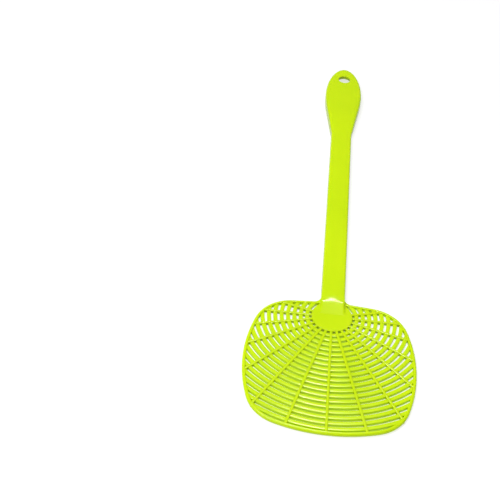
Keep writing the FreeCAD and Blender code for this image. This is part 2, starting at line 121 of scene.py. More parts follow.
class SwatterHead(bpy.types.PropertyGroup):
    """Sizes of the head."""

    arc_pitch: length("Arc pitch", "From one arc bar to the next", 4.82 * MM)
    first_arc: length("First arc", "Radius of the innermost arc bars, at their middle", 18.81 * MM)
    arc_count: count_of("Arcs", "Number of rings of arc bars", 19)
    arc_width: length("Arc width", "Width of an arc bar in plan", 3.02 * MM)
    arc_round: length("Arc rounding", "Rounding along the edges of an arc bar", 0.3 * MM)
    arc_drop: FloatProperty(
        name="Arc drop", description="Height of an arc bar's low edge, as a share of the frame's",
        default=0.25, min=0, max=1,
    )
    spoke_width: length("Spoke width", "Width of a spoke in plan", 2.2 * MM)
    spoke_round: length("Spoke rounding", "Rounding along the edges of a spoke", 0.55 * MM)
    spoke_step: angle("Spoke step", "Angle between neighbouring spokes", 15)
    spokes_aside: count_of("Spokes aside", "Spokes on each side of the middle one", 7)
    spoke_root: length("Spoke root", "How far the spokes reach into the hub", 3 * MM)
    rim_width: length("Rim width", "Width of the rim in plan", 2.5 * MM)
    rim_round: length("Rim rounding", "Rounding of the rim's outer edges", 1.4 * MM)
    rim_inner_round: length("Rim inner rounding", "Rounding of the rim's inner edges", 0.5 * MM)
    tip_arc: length("Tip arc", "Radius of the outline across the tip", 124 * MM)
    tip_turn: angle("Tip turn", "Half of the angle that the tip arc turns through", 17.3)
    corner_arc: length("Corner arc", "Radius of the lower corners", 31.3 * MM)
    corner_turn: angle("Corner turn", "Angle that a lower corner turns through", 55.2)
    side_arc: length("Side arc", "Radius of the long sides", 126 * MM)
    side_turn: angle("Side turn", "Angle that a long side turns through", 35.5)
    shoulder_arc: length("Shoulder arc", "Radius of the shoulders", 30.6 * MM)
    shoulder_turn: angle("Shoulder turn", "Angle that a shoulder turns through", 67)
    neck_arc: length("Neck corner", "Radius in the corner between shoulder and neck", 5.3 * MM)


class SwatterHandle(bpy.types.PropertyGroup):
    """Sizes of the hub, neck, stem and grip."""

    wall: length("Wall", "Wall of the moulded channel", 1.8 * MM)
    deck: length("Deck", "Thickness of the grip's upper face", 2 * MM)
    hub_crown: length("Hub crown", "Radius of the flat top of the hub", 13.4 * MM)
    hub_drop: length("Hub drop", "How much lower the hub's top is at its edge", 0.05 * MM)
    hub_round: length("Hub rounding", "Rounding along the edge of the hub", 0.4 * MM)
    ramp_foot: length("Ramp foot", "Where the ramp leaves the hub's flat top", 2 * MM)
    ramp_crest: length("Ramp crest", "Where the ramp reaches the height of the stem", 16.7 * MM)
    crest_round: length("Crest rounding", "Half the length of the turn over the crest", 4.5 * MM)
    ramp_side: length("Ramp side", "Width of the slope at each side of the ramp", 2.2 * MM)
    seat_run: length("Seat run", "Length past the hub in which the ramp's sides fill up", 2 * MM)
    bend_half: length("Bend", "Half of the stretch of neck over which the bend spreads", 3 * MM)
    crown: length("Crown", "How much lower the stem's top is at its edges", 0.3 * MM)
    crest_crown: length("Crest crown", "How much lower the crest is at its edges", 0.48 * MM)
    stem_round: length("Stem rounding", "Rounding along the stem's upper edges", 1.8 * MM)
    grip_round: length("Grip rounding", "Rounding along the grip's upper edge", 2.6 * MM)
    grip_widest: length("Widest place", "Where the grip is widest", 291 * MM)
    rise_end: length("Rise end", "Where the grip's back reaches its full height", 262 * MM)
    flank_arc: length("Flank arc", "Radius of the grip's flanks below the widest place", 130 * MM)
    flank_turn: angle("Flank turn", "Angle of the straight part of the flanks", 8.8)
    hole_radius: length("Hole radius", "Radius of the hang hole", 5.5 * MM)
    hole_lip: length("Hole lip", "Rounding of the hang hole's edge", 0.6 * MM)
    rib_thick: length("Rib thickness", "Thickness of a cross rib", 1.4 * MM)
    spine_thick: length("Spine thickness", "Thickness of the long middle rib", 1.6 * MM)
    rib_round: length("Rib rounding", "Rounding along the edges of ribs and collar", 0.45 * MM)
    rib_root: length("Rib root", "How far the ribs run up into the deck", 0.2 * MM)
    stem_ribs: count_of("Stem ribs", "Cross ribs in the stem", 12)
    grip_ribs: count_of("Grip ribs", "Cross ribs in the grip", 4)


class SwatterLooks(bpy.types.PropertyGroup):
    """Colours and finish of the plastic, and the stage."""

    lime: colour("Lime", "Colour of the plastic", (0.66, 0.87, 0.002))
    deep_lime: colour("Deep lime", "Colour in the darker flow marks", (0.60, 0.82, 0.002))
    # Painted shade: a darker lime put on the thick parts' walls that face sideways or down,
    # standing in for the shade that falls on them.
    shaded_side_lime: colour("Side lime", "Colour of the thick parts' upright walls", (0.38, 0.52, 0.001))
    web_lime: colour("Web lime", "Colour of the head's arc bars and rim", (0.70, 0.93, 0.003))
    # Painted shade: a darker lime put on the web's walls that face sideways or down, standing in
    # for the shade that falls on them.
    shaded_web_side: colour("Web side lime", "Colour of the web's upright walls", (0.58, 0.78, 0.002))
    thick_glow: amount("Thick glow", "How much light spreads inside thick plastic", 0.45)
    thin_glow: amount("Thin glow", "How much light spreads inside the thin web plastic", 0.5)
    roughness: amount("Roughness", "Roughness of the plastic before flow marks and grain", 0.13)
    floor_tone: colour("Floor", "Colour of the floor", (0.4, 0.4, 0.4))
    floor_glow: amount("Floor glow", "Light that comes up from the floor", 0.66)
    world_light: amount("World light", "Strength of the even light", 0.2)
    backdrop_light: amount("Backdrop", "Brightness of the backdrop", 0.9)
    key_light: amount("Key light", "Power of the large soft light overhead", 16.5)
    crest_light: amount("Crest light", "Power of the small light behind, for the crest", 6.0)


# ------------------------------------------------------------------ nodes written as expressions

class Wire:
    """A node's output, which arithmetic turns into Math nodes."""

    def __init__(self, graph, socket):
        self.graph = graph
        self.socket = socket

    def math(self, operation, left, right):
        return self.graph.add("ShaderNodeMath", {"operation": operation}, {0: left, 1: right})

    def __add__(self, other):
        return self.math("ADD", self, other)

    def __radd__(self, other):
        return self.math("ADD", other, self)

    def __sub__(self, other):
        return self.math("SUBTRACT", self, other)

    def __rsub__(self, other):
        return self.math("SUBTRACT", other, self)

    def __mul__(self, other):
        return self.math("MULTIPLY", self, other)

    def __rmul__(self, other):
        return self.math("MULTIPLY", other, self)


class Graph:
    """A node tree that is written one call for each node."""

    def __init__(self, tree):
        self.tree = tree

    def add(self, kind, settings=None, sockets=None, output=0):
        """Add a node: its settings first, then the values or links of its sockets."""
        node = self.tree.nodes.new(kind)
        for name, setting in (settings or {}).items():
            if name == "stops":
                self.set_stops(node.color_ramp, setting)
            else:
                setattr(node, name, setting)
        for key, value in (sockets or {}).items():
            if isinstance(value, Wire):
                self.tree.links.new(value.socket, node.inputs[key])
            else:
                node.inputs[key].default_value = value
        return Wire(self, node.outputs[output]) if node.outputs else None

    def set_stops(self, ramp, stops):
        """Place a colour ramp's stops, given as (position, grey)."""
        for element, (position, grey) in zip(ramp.elements, stops):
            element.position = position
            element.color = (grey, grey, grey, 1)


# ------------------------------------------------------------------ plastic

FLOW_STRETCH = 3.5
FLOW_SCALE = 38.0
CLOUD_SCALE = 14.0
GRAIN_SCALE = 1400.0
# Upward share of the normal above which the painted wall shade is gone.
WALL_SHADE_SLOPE = 0.9
GLOW_DEPTH = 1.5 * MM
GLOW_SPREAD = (1.0, 1.0, 0.25)
BUMP_DEPTH = 0.6 * MM
POLYPROPYLENE_IOR = 1.49


def rgba(tone):
    """A colour with full cover."""
    return (*tone, 1.0)


def plastic(name, base, side, glow, looks):
    """Moulded polypropylene: smooth, with faint flow marks, painted shade on upright walls, and
    light inside it.
    """
    material = bpy.data.materials.new(name)
    material.use_nodes = True
    material.node_tree.nodes.clear()
    graph = Graph(material.node_tree)
    place = graph.add("ShaderNodeTexCoord", output="Object")
    stretched = graph.add(
        "ShaderNodeMapping",
        {"vector_type": "TEXTURE"},
        {"Vector": place, "Scale": (1.0, FLOW_STRETCH, 1.0)},
    )
    flow = graph.add(
        "ShaderNodeTexNoise",
        {},
        {"Vector": stretched, "Scale": FLOW_SCALE, "Detail": 3.0, "Roughness": 0.55},
    )
    cloud = graph.add(
        "ShaderNodeTexNoise", {}, {"Vector": place, "Scale": CLOUD_SCALE, "Detail": 2.0}
    )
    grain = graph.add(
        "ShaderNodeTexNoise", {}, {"Vector": place, "Scale": GRAIN_SCALE, "Detail": 2.0}
    )
    shade = graph.add(
        "ShaderNodeValToRGB",
        {"stops": [(0.35, 0.0), (0.68, 1.0)]},
        {"Fac": flow * 0.5 + cloud * 0.5},
    )
    tone = graph.add(
        "ShaderNodeMix",
        {"data_type": "RGBA"},
        {"Factor": shade, "A": rgba(looks.deep_lime), "B": rgba(base)},
        "Result",
    )
    # Painted shade: the side colour is mixed into the base colour as the surface turns from facing
    # up to upright or down, standing in for the shade on walls.
    facing = graph.add("ShaderNodeTexCoord", output="Normal")
    upward = graph.add("ShaderNodeSeparateXYZ", {}, {"Vector": facing}, "Z")
    level = graph.add(
        "ShaderNodeMapRange", {}, {"Value": upward, "From Min": 0.0, "From Max": WALL_SHADE_SLOPE}
    )
    skin = graph.add(
        "ShaderNodeMix",
        {"data_type": "RGBA"},
        {"Factor": level, "A": rgba(side), "B": tone},
        "Result",
    )
    height = grain * 0.25 + flow
    bump = graph.add(
        "ShaderNodeBump", {}, {"Height": height, "Strength": 0.05, "Distance": BUMP_DEPTH}
    )
    shader = graph.add(
        "ShaderNodeBsdfPrincipled",
        {"subsurface_method": "RANDOM_WALK"},
        {
            "Base Color": skin,
            "Roughness": looks.roughness + flow * 0.10 - grain * 0.04,
            "Normal": bump,
            "IOR": POLYPROPYLENE_IOR,
            "Specular IOR Level": 0.3,
            "Subsurface Weight": glow,
            "Subsurface Radius": GLOW_SPREAD,
            "Subsurface Scale": GLOW_DEPTH,
        },
    )
    graph.add("ShaderNodeOutputMaterial", {}, {"Surface": shader})
    return material


def shared_plastic(name):
    """One of the two plastics by name, made once."""
    found = bpy.data.materials.get(name)
    if found:
        return found
    looks = bpy.context.scene.swatter_looks
    if name == "web_plastic":
        return plastic(name, looks.web_lime, looks.shaded_web_side, looks.thin_glow, looks)
    # The thick plastic gets its painted wall shade from shaded_side_lime.
    return plastic(name, looks.lime, looks.shaded_side_lime, looks.thick_glow, looks)


# ------------------------------------------------------------------ meshes

WELD = 1e-6
TINY_EDGE = 1e-7
SAME_PLACE = 0.02 * MM


def mesh_object(name, vertices, faces):
    """A new object in the scene from points and faces."""
    mesh = bpy.data.meshes.new(name)
    mesh.from_pydata([tuple(v) for v in vertices], [], faces)
    mesh.validate()
    obj = bpy.data.objects.new(name, mesh)
    bpy.context.scene.collection.objects.link(obj)
    return obj


def tidy_surface(obj, sharp_degrees=40):
    """Merge doubles, turn faces outwards, and shade smooth except along sharp edges."""
    shape = bmesh.new()
    shape.from_mesh(obj.data)
    bmesh.ops.remove_doubles(shape, verts=shape.verts, dist=WELD)
    bmesh.ops.dissolve_degenerate(shape, edges=shape.edges, dist=TINY_EDGE)
    bmesh.ops.recalc_face_normals(shape, faces=shape.faces)
    shape.to_mesh(obj.data)
    shape.free()
    obj.data.shade_smooth()
    obj.data.set_sharp_from_angle(angle=math.radians(sharp_degrees))


def applied(obj):
    """The object with its modifiers turned into plain mesh."""
    graph = bpy.context.evaluated_depsgraph_get()
    mesh = bpy.data.meshes.new_from_object(obj.evaluated_get(graph))
    obj.modifiers.clear()
    obj.data = mesh
    return obj


def crease_across(obj, y, low):
    """Mark as sharp the edges that run across the object at one place, above a height."""
    vertices = obj.data.vertices
    for edge in obj.data.edges:
        ends = [vertices[index].co for index in edge.vertices]
        if all(abs(end.y - y) < SAME_PLACE and end.z > low for end in ends):
            edge.use_edge_sharp = True


def cut_away(obj, tool):
    """Cut a tool from an object, and remove the tool."""
    cut = obj.modifiers.new("Cut", "BOOLEAN")
    cut.operation = "DIFFERENCE"
    cut.solver = "EXACT"
    cut.object = tool
    applied(obj)
    bpy.data.objects.remove(tool)
    return obj


def swept(name, rows, capped=True):
    """A solid skinned over rows of points, each row a closed ring, with or without flat ends."""
    count = len(rows[0])
    faces = []
    for row in range(len(rows) - 1):
        here = row * count
        for k in range(count):
            after = (k + 1) % count
            faces.append((here + k, here + after, here + count + after, here + count + k))
    if capped:
        last = (len(rows) - 1) * count
        faces.append(tuple(range(count)))
        faces.append(tuple(range(last, last + count)))
    obj = mesh_object(name, [point for row in rows for point in row], faces)
    tidy_surface(obj)
    return obj


def lathe(name, profile, centre_y, steps=72):
    """A closed ring or plug turned about an upright line, from (radius, height) points."""
    vertices = []
    for step in range(steps):
        turn = math.tau * step / steps
        vertices += [(r * math.cos(turn), centre_y + r * math.sin(turn), z) for r, z in profile]
    count = len(profile)
    faces = []
    for step in range(steps):
        here = step * count
        there = (step + 1) % steps * count
        for k in range(count):
            after = (k + 1) % count
            faces.append((here + k, here + after, there + after, there + k))
    obj = mesh_object(name, vertices, faces)
    tidy_surface(obj)
    return obj


def finish_piece(obj, body, material, nodes):
    """Give a piece its plastic, its body and the nodes that it stands for."""
    obj.data.materials.clear()
    obj.data.materials.append(material)
    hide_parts(*nodes)
    if body:
        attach(obj, body)
    return obj


def nodes_named(start):
    """The frame's nodes whose names start in a given way."""
    return sorted(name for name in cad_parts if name.startswith(start))


def smooth_step(value, low, high):
    """0 below low, 1 above high, and an S-shaped rise between."""
    share = min(max((value - low) / (high - low), 0), 1)
    return share * share * (3 - 2 * share)


# ------------------------------------------------------------------ outline of the head

NECK_CORNER_STEPS = 8
BEAD_STEPS = 4


def arc_stations(centre, radius, begin, turn, width, step):
    """Stations along a left-hand arc: outer point, direction inwards, and width."""
    count = max(2, math.ceil(radius * turn / step))
    stations = []
    for k in range(count + 1):
        way = begin + turn * k / count
        outward = Vector((math.sin(way), -math.cos(way), 0))
        stations.append((centre + outward * radius, -outward, width))
    return stations


def rim_stations(head, step=1.6 * MM):
    """Stations of the right half of the rim, from the tip to the side of the neck."""
    point = Vector((0, RIM_LOW.y, 0))
    heading = 0.0
    stations = []
    for part in ("tip", "corner", "side", "shoulder"):
        radius = getattr(head, f"{part}_arc")
        turn = getattr(head, f"{part}_turn")
        centre = point + Vector((-math.sin(heading), math.cos(heading), 0)) * radius
        arc = arc_stations(centre, radius, heading, turn, head.rim_width, step)
        stations += arc[1:] if stations else arc
        point = stations[-1][0]
        heading += turn
    tilt = math.pi - heading
    inward = stations[-1][1]
    touch = STEM_HALF + head.neck_arc * (1 - math.sin(tilt))
    run = point.x - touch
    count = math.ceil(run / step)
    for k in range(1, count + 1):
        share = run * k / count
        outer = point + Vector((-share, share * math.tan(tilt), 0))
        stations.append((outer, inward, head.rim_width))
    return stations + neck_corner_stations(head, stations[-1][0], inward, tilt)


def neck_corner_stations(head, touch, inward, tilt):
    """Stations round the corner beside the neck, whose inner edge runs straight on."""
    centre = touch + Vector((math.sin(tilt), math.cos(tilt), 0)) * head.neck_arc
    inner_start = touch + inward * head.rim_width
    inner_run = inner_start.x - STEM_HALF + head.rim_round
    steps = NECK_CORNER_STEPS
    stations = []
    for k in range(1, steps + 1):
        way = (math.pi / 2 - tilt) * k / steps
        spoke = Vector((-math.sin(tilt + way), -math.cos(tilt + way), 0))
        outer = centre + spoke * head.neck_arc
        inner = inner_start + Vector((-1, math.tan(tilt), 0)) * inner_run * k / steps
        gap = inner - outer
        stations.append((outer, gap.normalized(), gap.length))
    return stations


def mirrored(stations):
    """The same stations on the other side of the middle line, in reversed order."""
    return [(outer * FLIP, inward * FLIP, width) for outer, inward, width in reversed(stations)]


def bead_profile(width, head):
    """Closed section of the rim: (distance from the outer edge, height)."""
    low = RIM_LOW.z
    high = RIM_HIGH.z
    outer = head.rim_round
    inner = head.rim_inner_round
    corners = [
        (outer, low + outer, outer, 180),
        (width - inner, low + inner, inner, 270),
        (width - inner, high - inner, inner, 0),
        (outer, high - outer, outer, 90),
    ]
    profile = []
    for across, height, radius, begin in corners:
        for k in range(BEAD_STEPS + 1):
            way = math.radians(begin + 90 * k / BEAD_STEPS)
            profile.append((across + radius * math.cos(way), height + radius * math.sin(way)))
    return profile


def middle_line(head):
    """A closed polygon along the middle of the rim, for finding where bars and spokes end."""
    right = [s for s in rim_stations(head) if s[2] <= head.rim_width * 1.001]
    half = head.rim_width / 2
    return [outer + inward * half for outer, inward, _ in mirrored(right) + right[1:]]


def is_inside(x, y, polygon):
    """Whether a point lies inside a polygon."""
    inside = False
    for a, b in zip(polygon, polygon[1:] + polygon[:1]):
        if (a.y > y) != (b.y > y) and x < a.x + (y - a.y) / (b.y - a.y) * (b.x - a.x):
            inside = not inside
    return inside


# ------------------------------------------------------------------ bars by geometry nodes

BAR_FIELDS = ("radius_from", "radius_to", "turn_from", "turn_to", "shift")
BEND_POINTS = 160
ARC_STEP = 1.8 * MM
SPOKE_STEP = 12 * MM
RIB_STEP = 4 * MM
REACH_STEP = 0.1 * MM
TURN_STEP = math.radians(0.2)


def bar_tree():
    """Geometry nodes that draw bars: arcs about the hub, spokes out from it, and ribs.

    Each point of the mesh that goes in stands for one bar, whose ends are in its attributes
    as a radius and a turn about a centre, which is shifted along the handle from the hub.
    """
    tree = bpy.data.node_groups.new("Swatter Bars", "GeometryNodeTree")
    interface = tree.interface
    interface.new_socket("Bars", in_out="INPUT", socket_type="NodeSocketGeometry")
    for name in ("Hub Place", "Middle Height", "Width", "Height", "Rounding", "Step"):
        interface.new_socket(name, in_out="INPUT", socket_type="NodeSocketFloat")
    interface.new_socket("Plastic", in_out="INPUT", socket_type="NodeSocketMaterial")
    interface.new_socket("Bars", in_out="OUTPUT", socket_type="NodeSocketGeometry")
    graph = Graph(tree)
    given = graph.add("NodeGroupInput")

    def taken(name):
        return Wire(graph, given.socket.node.outputs[name])

    line = graph.add(
        "GeometryNodeCurvePrimitiveLine", {"mode": "POINTS"}, {"Start": (0, 0, 0), "End": (1, 0, 0)}
    )
    fine_line = graph.add("GeometryNodeResampleCurve", {}, {"Curve": line, "Count": BEND_POINTS})
    placed = graph.add(
        "GeometryNodeInstanceOnPoints", {}, {"Points": taken("Bars"), "Instance": fine_line}
    )
    real = graph.add("GeometryNodeRealizeInstances", {}, {"Geometry": placed})
    field = {
        name: graph.add(
            "GeometryNodeInputNamedAttribute", {"data_type": "FLOAT"}, {"Name": name}, "Attribute"
        )
        for name in BAR_FIELDS
    }
    share = graph.add("GeometryNodeSplineParameter", output="Factor")
    radius = field["radius_from"] + share * (field["radius_to"] - field["radius_from"])
    turn = field["turn_from"] + share * (field["turn_to"] - field["turn_from"])
    centre = taken("Hub Place") + field["shift"]
    cosine = graph.add("ShaderNodeMath", {"operation": "COSINE"}, {0: turn})
    sine = graph.add("ShaderNodeMath", {"operation": "SINE"}, {0: turn})
    place = graph.add(
        "ShaderNodeCombineXYZ",
        {},
        {
            "X": radius * cosine,
            "Y": radius * sine + centre,
            "Z": taken("Middle Height"),
        },
    )
    bent = graph.add("GeometryNodeSetPosition", {}, {"Geometry": real, "Position": place})
    even = graph.add(
        "GeometryNodeResampleCurve", {"mode": "LENGTH"}, {"Curve": bent, "Length": taken("Step")}
    )
    upright = graph.add("GeometryNodeSetCurveNormal", {"mode": "Z_UP"}, {"Curve": even})
    section = graph.add(
        "GeometryNodeCurvePrimitiveQuadrilateral",
        {"mode": "RECTANGLE"},
        {"Width": taken("Width"), "Height": taken("Height")},
    )
    rounded = graph.add(
        "GeometryNodeFilletCurve",
        {"mode": "POLY"},
        {"Curve": section, "Count": 3, "Radius": taken("Rounding")},
    )
    solid = graph.add(
        "GeometryNodeCurveToMesh",
        {},
        {"Curve": upright, "Profile Curve": rounded, "Fill Caps": True},
    )
    whole = graph.add("GeometryNodeRealizeInstances", {}, {"Geometry": solid})
    painted = graph.add(
        "GeometryNodeSetMaterial", {}, {"Geometry": whole, "Material": taken("Plastic")}
    )
    graph.add("NodeGroupOutput", {}, {"Bars": painted})
    return tree


def attribute_points(name, rows, fields):
    """A mesh of loose points at the origin, with one float attribute for each field."""
    obj = mesh_object(name, [(0, 0, 0)] * len(rows), [])
    for column, field in enumerate(fields):
        attribute = obj.data.attributes.new(field, "FLOAT", "POINT")
        attribute.data.foreach_set("value", [row[column] for row in rows])
    return obj


def run_tree(obj, tree, inputs):
    """Run a geometry node tree on an object, and keep its result as plain mesh."""
    modifier = obj.modifiers.new("Shape", "NODES")
    modifier.node_group = tree
    for item in tree.interface.items_tree:
        if item.in_out == "INPUT" and item.name in inputs:
            modifier[item.identifier] = inputs[item.name]
    return applied(obj)


def make_bars(name, rows, width, low, high, rounding, step, material):
    """Bars between two heights, each row giving the ends and the shift of one bar."""
    obj = attribute_points(name, rows, BAR_FIELDS)
    inputs = {
        "Hub Place": HUB_Y,
        "Middle Height": (low + high) / 2,
        "Width": width,
        "Height": high - low,
        "Rounding": rounding,
        "Step": step,
        "Plastic": material,
    }
    tree = bpy.data.node_groups.get("Swatter Bars") or bar_tree()
    run_tree(obj, tree, inputs)
    tidy_surface(obj, 50)
    return obj


def ring_rows(radius, polygon):
    """The stretches of one ring that lie inside the head."""
    steps = round(math.tau / TURN_STEP)
    top = math.pi / 2
    rows = []
    begin = None
    for k in range(steps + 1):
        turn = top + k * TURN_STEP
        inside = is_inside(radius * math.cos(turn), HUB_Y + radius * math.sin(turn), polygon)
        if inside and begin is None:
            begin = turn
        if begin is not None and (not inside or k == steps):
            rows.append((radius, radius, begin, turn, 0))
            begin = None
    return rows


def spoke_row(turn, inner, polygon):
    """A spoke from inside the hub to the middle of the rim."""
    reach = inner
    while is_inside(reach * math.cos(turn), HUB_Y + reach * math.sin(turn), polygon):
        reach += REACH_STEP
    return (inner, reach, turn, turn, 0)


# ------------------------------------------------------------------ handle

HUB_SLOPE_END = 1.5
HUB_STEPS = 32
FOOT_STEPS = 12
FLANK_STEPS = 8
END_STEPS = 40
LIP_STEPS = 6
COLLAR_STEPS = 5
NECK_STEP = 0.6 * MM
STEM_STEP = 6 * MM
FINE_MARGIN = 4 * MM


def straight_side(begin, end, step):
    """Evenly spaced stations along the stem's straight side, without the first."""
    count = math.ceil((end - begin) / step)
    inward = Vector((-1, 0, 0))
    places = [begin + (end - begin) * k / count for k in range(1, count + 1)]
    return [(Vector((STEM_HALF, y, 0)), inward) for y in places]


def handle_outline(handle):
    """Right half of the outline of hub, neck, stem and grip: points and directions inwards."""
    foot = math.asin(handle.ramp_foot / (HUB_RADIUS - handle.hub_round))
    meet = math.acos(STEM_HALF / HUB_RADIUS)
    begin = -math.pi / 2
    turns = [begin + (foot - begin) * k / HUB_STEPS for k in range(HUB_STEPS + 1)]
    turns += [foot + (meet - foot) * k / FOOT_STEPS for k in range(1, FOOT_STEPS + 1)]
    stations = []
    for turn in turns:
        outward = Vector((math.cos(turn), math.sin(turn), 0))
        stations.append((Vector((0, HUB_Y, 0)) + outward * HUB_RADIUS, -outward))
    fine_end = FLEX_HIGH.y + FINE_MARGIN
    stations += straight_side(stations[-1][0].y, fine_end, NECK_STEP)
    stations += straight_side(fine_end, GRIP_LOW.y, STEM_STEP)
    return stations + grip_outline(handle)


def grip_outline(handle):
    """Right half of the grip's outline, from the stem to the far end."""
    widest = along(handle.grip_widest)
    half = GRIP_HIGH.x
    turn = handle.flank_turn
    centre = Vector((half - handle.flank_arc, widest, 0))
    knee = centre + Vector((math.cos(turn), -math.sin(turn), 0)) * handle.flank_arc
    inward = Vector((-math.cos(turn), math.sin(turn), 0))
    start = Vector((STEM_HALF, GRIP_LOW.y, 0))
    stations = []
    for k in range(1, FLANK_STEPS + 1):
        stations.append((start.lerp(knee, k / FLANK_STEPS), inward))
    for k in range(1, FLANK_STEPS + 1):
        way = -turn * (1 - k / FLANK_STEPS)
        outward = Vector((math.cos(way), math.sin(way), 0))
        stations.append((centre + outward * handle.flank_arc, -outward))
    reach = GRIP_HIGH.y - widest
    for k in range(1, END_STEPS + 1):
        way = math.pi / 2 * k / END_STEPS
        point = Vector((half * math.cos(way), widest + reach * math.sin(way), 0))
        outward = Vector((reach * math.cos(way), half * math.sin(way), 0)).normalized()
        stations.append((point, -outward))
    return stations


def ramp_share(y, handle):
    """How far up the ramp a place lies: a straight slope that turns level over the crest."""
    run = handle.ramp_crest - handle.ramp_foot
    climbed = max(y - along(handle.ramp_foot), 0)
    turn = handle.crest_round
    left = run + turn - climbed
    if left >= 2 * turn:
        return climbed / run
    return 1 - max(left, 0) ** 2 / (4 * turn * run)


def top_height(x, y, handle):
    """Height of the upper face at a place in plan."""
    from_hub = math.hypot(x, y - HUB_Y)
    slope = max(0, from_hub - handle.hub_crown) / (HUB_RADIUS - handle.hub_crown)
    hub = HUB_HIGH.z - handle.hub_drop * min(slope, HUB_SLOPE_END)
    on_stem = ramp_share(y, handle)
    base = hub + (HUB_HIGH.z - hub) * smooth_step(y, along(0), SEAT_Y)
    half_slope = handle.ramp_side / 2
    side = 1 - smooth_step(abs(x), STEM_HALF - half_slope, STEM_HALF + half_slope)
    if y > SEAT_Y:
        side = side + (1 - side) * smooth_step(y, SEAT_Y, SEAT_Y + handle.seat_run)
    rise = GRIP_HIGH.z - STEM_HIGH.z
    climbed = (y - GRIP_LOW.y) / (along(handle.rise_end) - GRIP_LOW.y)
    back = math.sin(math.pi / 2 * min(max(climbed, 0), 1))
    return base + (STEM_HIGH.z - HUB_HIGH.z) * on_stem * side + rise * back


def edge_rounding(y, handle):
    """Rounding radius along the upper edge at a place along the handle."""
    on_neck = handle.stem_round - handle.hub_round
    on_grip = handle.grip_round - handle.stem_round
    neck = handle.hub_round + on_neck * smooth_step(y, SEAT_Y, FLEX_HIGH.y)
    return neck + on_grip * smooth_step(y, GRIP_LOW.y, along(handle.rise_end))


def crowned(x, half, y, handle):
    """How far the upper face drops towards its sides."""
    share = min(abs(x) / half, 1) if half > 0 else 1
    crest = along(handle.ramp_crest)
    beyond = smooth_step(y, crest, 2 * FLEX_HIGH.y - crest)
    drop = handle.crest_crown + (handle.crown - handle.crest_crown) * beyond
    return drop * share ** 2 * smooth_step(y, SEAT_Y, crest)


def half_columns(handle, across=28, bends=6):
    """For each station of the right half: its column of points from the bottom to the middle."""
    columns = []
    for point, inward in handle_outline(handle):
        y = point.y
        radius = edge_rounding(y, handle)
        edge = point + inward * radius
        edge.x = max(edge.x, 0)
        bottom = HUB_LOW.z if y < SEAT_Y else 0.0
        rim_top = top_height(edge.x, edge.y, handle) - crowned(edge.x, edge.x, edge.y, handle)
        column = [Vector((point.x, y, bottom))]
        for k in range(bends):
            way = math.pi / 2 * k / bends
            spot = point + inward * radius * (1 - math.cos(way))
            column.append(Vector((max(spot.x, 0), spot.y, rim_top - radius * (1 - math.sin(way)))))
        for k in range(across + 1):
            x = edge.x * (1 - k / across)
            height = top_height(x, edge.y, handle) - crowned(x, edge.x, edge.y, handle)
            column.append(Vector((x, edge.y, height)))
        columns.append(column)
    return columns


def closed_shell(name, columns):
    """A closed solid from the right half's columns, mirrored, with a flat underside."""
    rows = []
    for column in columns:
        left = [point * FLIP for point in reversed(column[:-1])]
        edge = column[0]
        under = [Vector((edge.x * share, edge.y, edge.z)) for share in (-0.5, 0, 0.5)]
        rows.append(column + left + under)
    return swept(name, rows, capped=False)


def cavity_tool(handle):
    """The hollow under the stem and the grip, as a solid to cut away."""
    begin = SEAT_Y + handle.wall
    deeper = handle.deck - handle.wall
    rows = []
    for point, inward in handle_outline(handle):
        spot = point + inward * handle.wall
        if point.y < begin or spot.x < 0:
            continue
        thick = handle.wall + deeper * smooth_step(spot.y, GRIP_LOW.y, along(handle.rise_end))
        ceiling = top_height(0, spot.y, handle) - thick
        right = [
            Vector((spot.x, spot.y, -MM)),
            Vector((spot.x, spot.y, ceiling - handle.crown)),
            Vector((spot.x / 2, spot.y, ceiling)),
        ]
        left = [place * FLIP for place in reversed(right)]
        rows.append(right + [Vector((0, spot.y, ceiling))] + left)
    return swept("cavity_tool", rows)


def hole_tool(handle):
    """The hang hole with a rounded lip, as a solid to cut away."""
    lip = handle.hole_lip
    top = GRIP_HIGH.z - handle.crown * (handle.hole_radius / GRIP_HIGH.x) ** 2
    clear = top + 2 * MM
    profile = [(0, -MM), (handle.hole_radius, -MM)]
    for k in range(LIP_STEPS + 1):
        way = math.pi / 2 * k / LIP_STEPS
        reach = handle.hole_radius + lip * (1 - math.cos(way))
        profile.append((reach, top - lip * (1 - math.sin(way))))
    profile += [(handle.hole_radius + lip, clear), (0, clear)]
    return lathe("hole_tool", profile, HOLE_Y)


def half_width(y, handle):
    """Half of the width of stem or grip at a place along it."""
    stations = handle_outline(handle)
    for (a, _), (b, _) in zip(stations, stations[1:]):
        if a.y <= y < b.y:
            return a.x + (b.x - a.x) * (y - a.y) / (b.y - a.y)
    return STEM_HALF


def cross_rib_rows(begin, end, count, handle):
    """Cross ribs from wall to wall, evenly spaced from the first one's face to the last one's."""
    first = begin + handle.rib_thick / 2
    pitch = (end - begin - handle.rib_thick) / max(count - 1, 1)
    rows = []
    for k in range(count):
        y = first + k * pitch
        half = half_width(y, handle) - handle.wall / 2
        rows.append((-half, half, 0, 0, y - HUB_Y))
    return rows


def long_rib_rows(begin, end):
    """The one rib along the middle."""
    return [(begin - HUB_Y, end - HUB_Y, math.pi / 2, math.pi / 2, 0)]


# ------------------------------------------------------------------ operators

class SWATTER_OT_rim(bpy.types.Operator):
    """Build the rounded bead round the head"""

    bl_idname = "swatter.rim"
    bl_label = "Rim"

    def execute(self, context):
        head = context.scene.swatter_head
        right = rim_stations(head)
        stations = mirrored(right) + right[1:]
        up = Vector((0, 0, 1))
        rows = []
        for outer, inward, width in stations:
            profile = bead_profile(width, head)
            rows.append([outer + inward * across + up * height for across, height in profile])
        obj = swept("rim_bead", rows)
        finish_piece(obj, "head", shared_plastic("web_plastic"), ["rim"])
        return {"FINISHED"}


